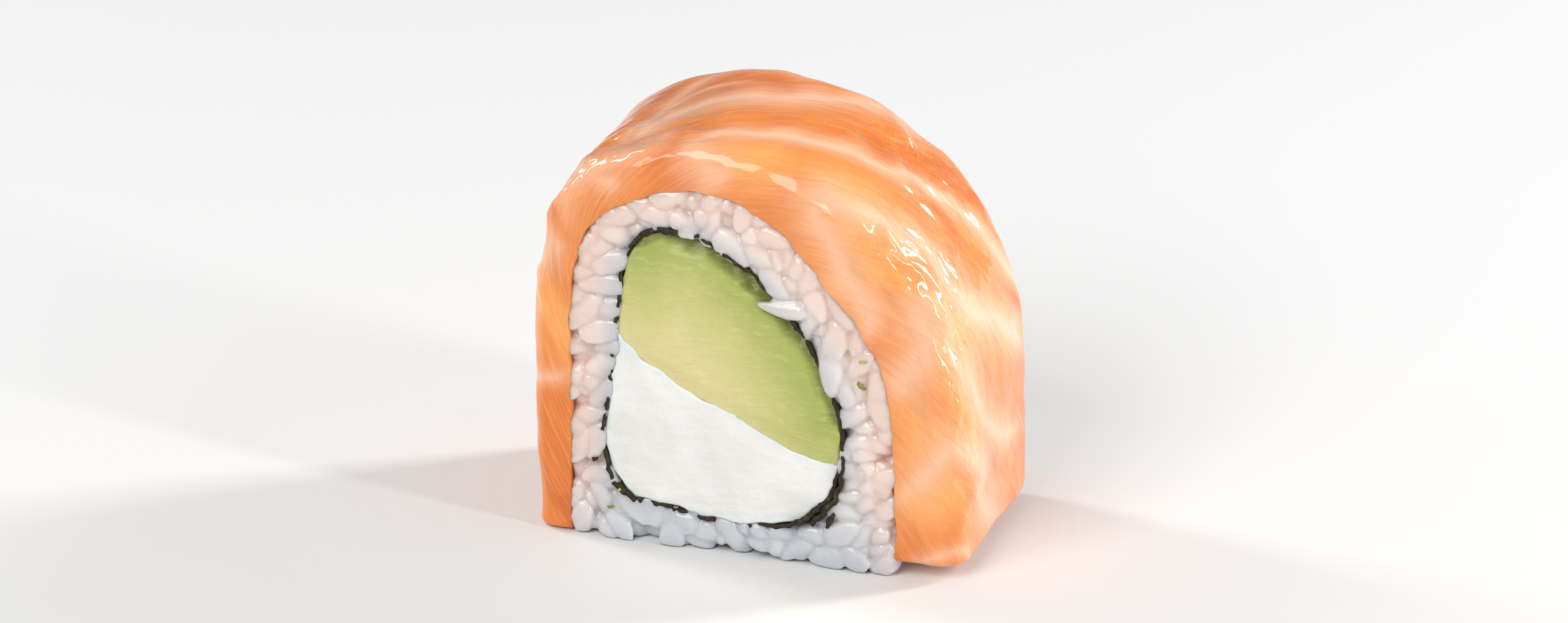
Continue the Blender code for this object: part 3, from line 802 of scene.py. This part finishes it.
def even_spots(rng, low, high, allowed, count):
    """Spots spread evenly over a region: each is the one furthest from those before it."""
    spots = rng.uniform(low, high, (SPOTS_TRIED, 2))
    spots = spots[allowed(spots)]
    chosen = [0]
    room = np.linalg.norm(spots - spots[0], axis=1)
    while len(chosen) < count:
        chosen.append(int(np.argmax(room)))
        room = np.minimum(room, np.linalg.norm(spots - spots[chosen[-1]], axis=1))
    return spots[chosen]


def grain_form():
    """One grain of unit half-length and half-width along Z: its points and faces."""
    bands = np.linspace(0, math.pi, GRAIN_BANDS + 1)[1:-1]
    turns = np.arange(GRAIN_SIDES) * 2 * math.pi / GRAIN_SIDES
    rings = [np.column_stack([np.sin(t) ** 0.8 * np.cos(turns), np.sin(t) ** 0.8 * np.sin(turns),
                              np.full(GRAIN_SIDES, -math.cos(t))]) for t in bands]
    points = np.vstack(rings + [[[0, 0, -1]], [[0, 0, 1]]])
    faces = grid_faces(len(rings), GRAIN_SIDES, wrap_columns=True).tolist()
    last = (len(rings) - 1) * GRAIN_SIDES
    for k in range(GRAIN_SIDES):
        beside = (k + 1) % GRAIN_SIDES
        faces += [[beside, k, len(points) - 2], [last + k, last + beside, len(points) - 1]]
    return points, faces


def placed_grain(rng, form, centre, direction):
    """A grain, bent and dented a little, with its long axis along direction: its points, and its middle,
    axis and half-sizes."""
    length = GRAIN_LENGTH * rng.uniform(*LENGTH_RANGE) / 2
    width = GRAIN_WIDTH * rng.uniform(*WIDTH_RANGE) / 2
    thick = width * rng.uniform(*THICK_RANGE)
    x, y, z = form.T
    bend = rng.uniform(-GRAIN_BEND, GRAIN_BEND)
    dent = 1 + 0.07 * rough(form * 1.3, 1.0, rng.uniform(0, 50))
    groove = 1 - 0.1 * np.exp(-((np.arctan2(y, x) - 1.2) / 0.5) ** 2)
    wide, deep = x * width * dent * groove, y * thick * dent * groove
    own = np.column_stack([wide + bend * (z**2 - 0.4), deep, z * length])
    along = Vector(direction).normalized()
    turn = along.to_track_quat("Z", "Y").to_matrix()
    roll = rng.uniform(0, 2 * math.pi)
    c, s = math.cos(roll), math.sin(roll)
    own = own @ np.array([[c, s, 0], [-s, c, 0], [0, 0, 1]])
    placed = own @ np.array(turn).T + np.array(centre)
    return placed, (placed.mean(axis=0), np.array(along), length, (width + thick) / 2)


def ring_grains(rng, side, depth, steepness, count, outer, hole, form):
    """Grains that lie across the ring of rice at its sides and along it underneath, at one depth."""

    def allowed(spots):
        _, far, inside = nearest_on(outer, spots)
        _, near, in_hole = nearest_on(hole, spots)
        return inside & ~in_hole & (far > OUTER_CLEAR) & (near > HOLE_CLEAR) & (spots[:, 1] > LOWEST_GRAIN)

    grains = []
    spots = even_spots(rng, outer.min(axis=0), outer.max(axis=0), allowed, count)
    place, away, _ = nearest_on(hole, spots)
    for spot, out in zip(spots, (spots - place) / away[:, None]):
        low = spot[1] < LOW_RICE
        turn = rng.normal(LOW_TURN if low else SIDE_TURN, TURN_SPREAD)
        along = np.array([-out[1], out[0]]) * math.cos(turn) + out * math.sin(turn)
        centre = (spot[0], side * (depth + rng.uniform(*DEPTH_RANGE)), spot[1])
        lean = rng.normal(0, LOW_LEAN if low else steepness)
        grains.append(placed_grain(rng, form, centre, (along[0], lean, along[1])))
    return grains


def under_grains(rng, outer, form):
    """Grains that show underneath, at any angle."""
    low = (outer[:, 0].min() + UNDER_INSET, -CORE_HALF)
    high = (outer[:, 0].max() - UNDER_INSET, CORE_HALF)
    grains = []
    for x, y in even_spots(rng, low, high, lambda spots: np.ones(len(spots), bool), UNDER_GRAINS):
        turn = rng.uniform(0, math.pi)
        centre = (x, y, UNDER_HEIGHT + rng.uniform(*UNDER_RANGE))
        direction = (math.cos(turn), math.sin(turn), rng.normal(0, UNDER_LEAN))
        grains.append(placed_grain(rng, form, centre, direction))
    return grains


def pressed_grains(points, outer, hole):
    """The grains' points, pressed in by the fish, the nori and the floor, and cut off at both faces."""
    pressed = pressed_in(points[:, [0, 2]], outer, hole)
    reach = np.abs(points[:, 1])
    start = CUT_FACE - CUT_SOFTNESS
    cut = start + CUT_SOFTNESS * np.tanh(np.maximum(reach - start, 0) / CUT_SOFTNESS)
    reach = np.where(reach > start, cut, reach)
    _, far, inside = nearest_on(outer, pressed)
    reach -= TUCK * smooth_step(*TUCK_OVER, np.where(inside, 0, far))
    pressed[:, 1] = np.maximum(pressed[:, 1], LOWEST_POINT)
    return upright(pressed, np.sign(points[:, 1]) * reach)


def all_grains(rng, outer, hole, form):
    """The points of every grain, and each one's middle, axis and half-sizes."""
    grains = []
    for side in (-1, 1):
        grains += ring_grains(rng, side, FACE_DEPTH, FACE_LEAN, FACE_GRAINS, outer, hole, form)
        grains += ring_grains(rng, side, INNER_DEPTH, INNER_LEAN, INNER_GRAINS, outer, hole, form)
    grains += under_grains(rng, outer, form)
    tapered = form * np.column_stack([0.62 + 0.24 * form[:, 2]] * 2 + [np.full(len(form), 0.95)])
    reaching, shape = placed_grain(rng, tapered, *REACHING_GRAIN)
    points, shapes = (list(made) for made in zip(*grains))
    pressed = pressed_grains(np.vstack(points), outer, hole)
    return np.vstack([pressed, reaching]), shapes + [shape]


def rice_core(outer, hole):
    """The plain ring that fills the rice behind its grains."""
    inset = respaced(outer - outward(outer) * CORE_INSET, CORE_POINTS, closed=True)
    inset[:, 1] = np.maximum(inset[:, 1], UNDER_HEIGHT)
    inner = respaced(hole + outward(hole) * CORE_HOLE_INSET, CORE_POINTS, closed=True)
    inner = np.roll(inner, -np.linalg.norm(inner - inset[0], axis=1).argmin(), axis=0)
    if np.linalg.norm(inner[10] - inset[10]) > np.linalg.norm(inner[-10] - inset[10]):
        inner = np.roll(inner[::-1], 1, axis=0)
    corners = (inset, -CORE_HALF), (inset, CORE_HALF), (inner, CORE_HALF), (inner, -CORE_HALF)
    faces = grid_faces(len(corners), CORE_POINTS, wrap_rows=True, wrap_columns=True)
    return np.vstack([upright(*corner) for corner in corners]), faces.tolist()


def grown_together(points, faces):
    """The overlapping grains as one skin, softened where they meet: its points, normals and faces."""
    mesh = bpy.data.meshes.new("grains")
    mesh.from_pydata(points.tolist(), [], faces)
    grains = linked("grains", mesh)
    skin = grains.modifiers.new("skin", "REMESH")
    skin.mode, skin.voxel_size = "VOXEL", SKIN_VOXEL
    soft = grains.modifiers.new("soft", "SMOOTH")
    soft.factor, soft.iterations = 0.5, SKIN_SOFTENING
    fewer = grains.modifiers.new("fewer", "DECIMATE")
    fewer.ratio = SKIN_KEPT
    made = grains.evaluated_get(bpy.context.evaluated_depsgraph_get()).to_mesh()
    spots = np.array([v.co for v in made.vertices])
    normals = np.array([v.normal for v in made.vertices])
    skin_faces = [list(face.vertices) for face in made.polygons]
    bpy.data.objects.remove(grains)
    return spots, normals, skin_faces


def grain_at(skin, shapes):
    """For each point of the skin, its grain, and how near it is to the line where two grains meet."""
    first, second = np.full(len(skin), np.inf), np.full(len(skin), np.inf)
    owner = np.zeros(len(skin), int)
    for k, (middle, axis, length, width) in enumerate(shapes):
        away = skin - middle
        along = away @ axis
        aside = np.maximum(np.sum(away**2, axis=1) - along**2, 0)
        depth = np.sqrt((along / length) ** 2 + aside / width**2)
        second = np.minimum(second, np.maximum(first, depth))
        owner[depth < first] = k
        first = np.minimum(first, depth)
    return owner, np.exp(-(((second - first) / MEETING) ** 2))


def build_rice(look):
    rng = np.random.default_rng(RICE_SEED)
    outer, hole = rice_outlines()
    form, form_faces = grain_form()
    points, shapes = all_grains(rng, outer, hole, form)
    faces = [[i + k * len(form) for i in face] for k in range(len(shapes)) for face in form_faces]
    tint = rng.uniform(0, 1, len(shapes))
    core, core_faces = rice_core(outer, hole)
    faces += [[i + len(points) for i in face] for face in core_faces]
    skin, normals, skin_faces = grown_together(np.vstack([points, core]), faces)
    owner, joint = grain_at(skin, shapes)
    skin -= MEETING_DEPTH * joint[:, None] * normals
    skin[:, 2] = np.maximum(skin[:, 2], 0.0)
    made = piece("rice_ring", skin, skin_faces, "rice")
    keep_value(made, "tint", tint[owner])
    keep_value(made, "joint", joint)
    keep_value(made, "fish", distance_to(outer[:ARCH_POINTS], skin[:, [0, 2]])[0])
    _, near, in_hole = nearest_on(hole, skin[:, [0, 2]])
    keep_value(made, "nori", np.where(in_hole, -near, near))
    made.data.materials.append(rice_finish(look))


def rice_finish(look):
    paint = Paint("cooked_rice", subsurface_weight=1.0, subsurface_scale=0.003, coat_weight=0.8,
                  coat_roughness=0.06)
    paint.shader.inputs["Subsurface Radius"].default_value = (1.0, 0.9, 0.8)
    where = paint.place()
    cloud = paint.noise(where, 0.6, 3, 0.5)
    grain = paint.mix(paint.value("tint"), look.clear, look.white)
    grain = paint.mix(paint.range(cloud, 0.4, 0.7) * 0.35, grain, look.white)
    grain = paint.mix(paint.value("joint") * 0.3, grain, look.between)
    height = paint.node("ShaderNodeSeparateXYZ", None, {"Vector": where}, output=2)
    grain = paint.mix(paint.range(paint.value("nori"), -0.6, 2.4, 0.9, 0.0), grain, look.grey)
    grain = paint.mix(paint.range(paint.value("nori"), -2.6, -0.6, 0.8, 0.0), grain, look.thin)
    # Painted shade: the rice turns darker and bluish towards the floor, where the table shades it
    grain = paint.mix(paint.range(height, 1.0, 11.0, 0.65, 0.0), grain, look.low)
    # Painted reflection: pink light off the fish colours the rice beside it, less of it near the floor
    fish_reflection = paint.range(paint.value("fish"), 0.3, 4.6, 0.85, 0.05)
    paint.colour(paint.mix(fish_reflection * paint.range(height, 0.0, 12.0, 0.35, 1.0), grain, look.reflected_pink))
    paint.roughness(paint.range(cloud, 0.3, 0.7, 0.28, 0.42))
    paint.bump(paint.noise(where, 1.1, 5, 0.6), 0.3, 0.7)
    return paint.material


# Crumbs

# Specks on the front face of the rice: middle (X, Z), half-length and half-width, and turn in degrees
NORI_SPECKS = [((8.7, 5.3), (0.9, 0.3), 25), ((-15.9, 8.5), (0.35, 0.2), 70)]
SKIN_SPECKS = [((11.9, 20.2), (0.55, 0.28), -50), ((-14.3, 3.5), (0.4, 0.15), 80)]
FLESH_SPECKS = [((12.1, 22.8), (0.6, 0.16), 80), ((-13.3, 5.5), (0.35, 0.15), 60)]
SPECK_THICKNESS, SPECK_CURL, SPECK_ROUGHNESS = 0.12, 0.2, 0.7
SPECK_DEPTH = -CUT_FACE + 0.05
FLESH_RIM = 3.0


def specks(name, spots, finish, rim=0.0):
    """Small curled flakes that lie on the rice, of flesh from that deep under the avocado's rim."""
    points, faces = [], []
    form, form_faces = grain_form()
    for (x, z), (half, width), degrees in spots:
        own = form * (width, SPECK_THICKNESS, half)
        own[:, 1] += SPECK_CURL * form[:, 2] ** 2
        own *= 1 + SPECK_ROUGHNESS * rough(form, 0.8, x)[:, None]
        c, s = math.cos(math.radians(degrees)), math.sin(math.radians(degrees))
        turned = np.column_stack([own[:, 0] * c + own[:, 2] * s, own[:, 1], own[:, 2] * c - own[:, 0] * s])
        faces += [[i + len(points) * len(form) for i in face] for face in form_faces]
        points.append(turned + (x, SPECK_DEPTH, z))
    made = piece(name, np.vstack(points), faces)
    keep_value(made, "rim", np.full(len(made.data.vertices), rim))
    keep_value(made, "bevel", np.zeros(len(made.data.vertices)))
    made.data.materials.append(finish)


# Stage

FLOOR_REACH = 1.5
BACKDROP = (0.93, 0.96, 1.0)
LIT_POINT = (0, 0, 0.02)

# Lights: place and size in metres, and colour. The look of the same name gives each one's power
LIGHTS = {
    "key": ((-0.2, -0.6, 0.55), (0.5, 0.5), (1.0, 0.98, 0.95)),
    "side": ((0.52, 0.38, 0.27), (0.1, 0.42), (1.0, 0.99, 0.98)),
    "back": ((-0.6, 0.12, 0.38), (0.12, 0.4), (1.0, 0.99, 0.98)),
    "streak": ((0.6, -0.16, 0.24), (0.05, 0.5), (1.0, 0.99, 0.98)),
}


def build_floor(look):
    mesh = bpy.data.meshes.new("floor")
    low, high = -FLOOR_REACH, FLOOR_REACH
    corners = [(low, low, 0), (high, low, 0), (high, high, 0), (low, high, 0)]
    mesh.from_pydata(corners, [], [(0, 1, 2, 3)])
    mesh.materials.append(Paint("pale_floor", base_color=rgba(look.floor), roughness=0.6).material)
    linked("floor", mesh)


def add_light(name, place, size, power, tone):
    lamp = bpy.data.lights.new(name, "AREA")
    lamp.shape, lamp.size, lamp.size_y = "RECTANGLE", size[0], size[1]
    lamp.energy, lamp.color = power, tone
    made = linked(name, lamp)
    made.location = place
    made.rotation_euler = (Vector(LIT_POINT) - Vector(place)).to_track_quat("-Z", "Y").to_euler()


def add_camera(look):
    a, e = math.radians(CAMERA_AZIMUTH), math.radians(CAMERA_ELEVATION)
    back = Vector((math.sin(a) * math.cos(e), -math.cos(a) * math.cos(e), math.sin(e)))
    low, high = (Vector(corner) for corner in CAD_BOX)
    aim = (low + high) / 2
    lens = bpy.data.cameras.new("camera")
    lens.sensor_width = SENSOR_WIDTH
    lens.lens = SENSOR_WIDTH * CAMERA_DISTANCE / (look.view_height * IMAGE_WIDTH / IMAGE_HEIGHT)
    lens.clip_start, lens.clip_end = 0.01, 10
    camera = linked("camera", lens)
    camera.location = aim + back * CAMERA_DISTANCE
    camera.rotation_euler = (-back).to_track_quat("-Z", "Y").to_euler()
    bpy.context.scene.camera = camera


def build_stage(look):
    build_floor(look)
    world = bpy.data.worlds.new("studio")
    world.use_nodes = True
    backdrop = world.node_tree.nodes["Background"]
    backdrop.inputs["Color"].default_value = rgba(BACKDROP)
    backdrop.inputs["Strength"].default_value = look.fill
    bpy.context.scene.world = world
    for name, (place, size, tone) in LIGHTS.items():
        add_light(name, place, size, getattr(look, name), tone)
    add_camera(look)
    bpy.context.scene.view_settings.view_transform = "Standard"


# Add-on

def colour(name, description, default):
    return FloatVectorProperty(name=name, description=description, default=default, size=3, min=0.0,
                               max=1.0, subtype="COLOR")


def power(name, description, default):
    return FloatProperty(name=name, description=description, default=default, min=0.0, unit="POWER")


class SalmonLook(bpy.types.PropertyGroup):
    """The salmon's colours."""
    flesh: colour("Flesh", "Orange of the lean flesh", (0.76, 0.21, 0.02))
    deep: colour("Deep flesh", "Darker orange between the bands", (0.64, 0.13, 0.012))
    light: colour("Light flesh", "Pale orange of the fine fibres", (0.95, 0.42, 0.12))
    fat: colour("Fat", "Pink of the soft fat bands", (0.88, 0.47, 0.27))
    line: colour("Fat line", "Pale middle of a fat line", (0.92, 0.66, 0.52))


class AvocadoLook(bpy.types.PropertyGroup):
    """The avocado's colours."""
    # Also used as painted shade on the bevel under the skin
    rim: colour("Rim", "Dark green just under the skin", (0.15, 0.17, 0.015))
    green: colour("Green", "Green flesh near the rim", (0.34, 0.41, 0.08))
    middle: colour("Middle", "Yellow-green flesh", (0.54, 0.54, 0.18))
    yellow: colour("Yellow", "Creamy flesh by the seam", (0.72, 0.63, 0.3))


class CheeseLook(bpy.types.PropertyGroup):
    """The cream cheese's colours."""
    white: colour("White", "Main white", (0.82, 0.81, 0.79))
    shade: colour("Shade", "Slightly greyer white", (0.76, 0.75, 0.73))


class NoriLook(bpy.types.PropertyGroup):
    """The nori's colours."""
    dark: colour("Dark", "Nearly black green", (0.026, 0.019, 0.011))
    olive: colour("Olive", "Lighter olive flecks", (0.085, 0.065, 0.025))


class RiceLook(bpy.types.PropertyGroup):
    """The rice's colours."""
    white: colour("White", "Opaque grains", (0.78, 0.73, 0.7))
    clear: colour("Clear", "More translucent grains", (0.6, 0.57, 0.56))
    grey: colour("Grey", "Grain tips by the nori", (0.52, 0.52, 0.55))
    between: colour("Between", "Where two grains meet", (0.58, 0.48, 0.44))
    thin: colour("Thin", "Thin tip over the avocado", (0.5, 0.55, 0.3))
    # Painted shade: the darker, bluish grey of the shaded rice near the floor
    low: colour("Low", "Bluish rice near the floor", (0.5, 0.57, 0.64))
    # Painted reflection: the pink that light off the fish casts on the rice beside it
    reflected_pink: colour("Pink", "Rice tinted by the fish beside it", (0.84, 0.6, 0.51))


class StageLook(bpy.types.PropertyGroup):
    """The studio."""
    floor: colour("Floor", "Pale floor", (0.76, 0.76, 0.76))
    view_height: FloatProperty(name="View height", description="Height of the view at the slice",
                               default=0.062, min=0.02, unit="LENGTH", subtype="DISTANCE")
    fill: FloatProperty(name="Fill", description="Strength of the light from all round", default=0.29,
                        min=0.0)
    key: power("Key", "Power of the front light", 4.7)
    side: power("Side", "Power of the strip behind on the right", 4.2)
    back: power("Back", "Power of the strip behind on the left", 2.0)
    streak: power("Streak", "Power of the thin strip on the right", 1.8)


class SLICE_OT_salmon(bpy.types.Operator):
    """Build the salmon slab"""
    bl_idname = "roll_slice.salmon"
    bl_label = "Salmon"

    def execute(self, context):
        build_salmon(context.scene.slice_salmon)
        return {"FINISHED"}


class SLICE_OT_avocado(bpy.types.Operator):
    """Build the avocado wedge"""
    bl_idname = "roll_slice.avocado"
    bl_label = "Avocado"

    def execute(self, context):
        build_avocado(context.scene.slice_avocado)
        return {"FINISHED"}


class SLICE_OT_cheese(bpy.types.Operator):
    """Build the bar of cream cheese"""
    bl_idname = "roll_slice.cheese"
    bl_label = "Cream Cheese"

    def execute(self, context):
        build_cream_cheese(context.scene.slice_cheese)
        return {"FINISHED"}


class SLICE_OT_nori(bpy.types.Operator):
    """Build the nori round the filling"""
    bl_idname = "roll_slice.nori"
    bl_label = "Nori"

    def execute(self, context):
        build_nori(context.scene.slice_nori)
        return {"FINISHED"}


class SLICE_OT_rice(bpy.types.Operator):
    """Grow the ring of rice from its grains"""
    bl_idname = "roll_slice.rice"
    bl_label = "Rice"

    def execute(self, context):
        build_rice(context.scene.slice_rice)
        return {"FINISHED"}


class SLICE_OT_crumbs(bpy.types.Operator):
    """Lay small specks of nori and avocado on the rice"""
    bl_idname = "roll_slice.crumbs"
    bl_label = "Crumbs"

    def execute(self, context):
        specks("nori_specks", NORI_SPECKS, nori_finish(context.scene.slice_nori))
        green = avocado_finish(context.scene.slice_avocado)
        specks("avocado_skin_specks", SKIN_SPECKS, green)
        specks("avocado_flesh_specks", FLESH_SPECKS, green, FLESH_RIM)
        return {"FINISHED"}


class SLICE_OT_stage(bpy.types.Operator):
    """Set the floor, lights and camera"""
    bl_idname = "roll_slice.stage"
    bl_label = "Stage"

    def execute(self, context):
        build_stage(context.scene.slice_stage)
        return {"FINISHED"}


LOOKS = {"salmon": SalmonLook, "avocado": AvocadoLook, "cheese": CheeseLook, "nori": NoriLook,
         "rice": RiceLook, "stage": StageLook}
OPERATORS = (SLICE_OT_stage, SLICE_OT_salmon, SLICE_OT_avocado, SLICE_OT_cheese, SLICE_OT_nori,
             SLICE_OT_rice, SLICE_OT_crumbs)


class SLICE_PT_panel(bpy.types.Panel):
    """Builds the slice piece by piece"""
    bl_label = "Roll Slice"
    bl_space_type = "VIEW_3D"
    bl_region_type = "UI"
    bl_category = "Roll Slice"

    def draw(self, context):
        for operator in OPERATORS:
            self.layout.operator(operator.bl_idname)
        for name, look in LOOKS.items():
            box = self.layout.box()
            box.label(text=name.title())
            for key in look.__annotations__:
                box.prop(getattr(context.scene, "slice_" + name), key)


def register():
    for made in (*LOOKS.values(), *OPERATORS, SLICE_PT_panel):
        bpy.utils.register_class(made)
    for name, look in LOOKS.items():
        setattr(bpy.types.Scene, "slice_" + name, PointerProperty(type=look))


def unregister():
    for name in LOOKS:
        delattr(bpy.types.Scene, "slice_" + name)
    for made in reversed((*LOOKS.values(), *OPERATORS, SLICE_PT_panel)):
        bpy.utils.unregister_class(made)


def main():
    register()
    bpy.ops.roll_slice.stage()
    bpy.ops.roll_slice.salmon()
    bpy.ops.roll_slice.avocado()
    bpy.ops.roll_slice.cheese()
    bpy.ops.roll_slice.nori()
    bpy.ops.roll_slice.rice()
    bpy.ops.roll_slice.crumbs()


if __name__ == "__main__":
    main()
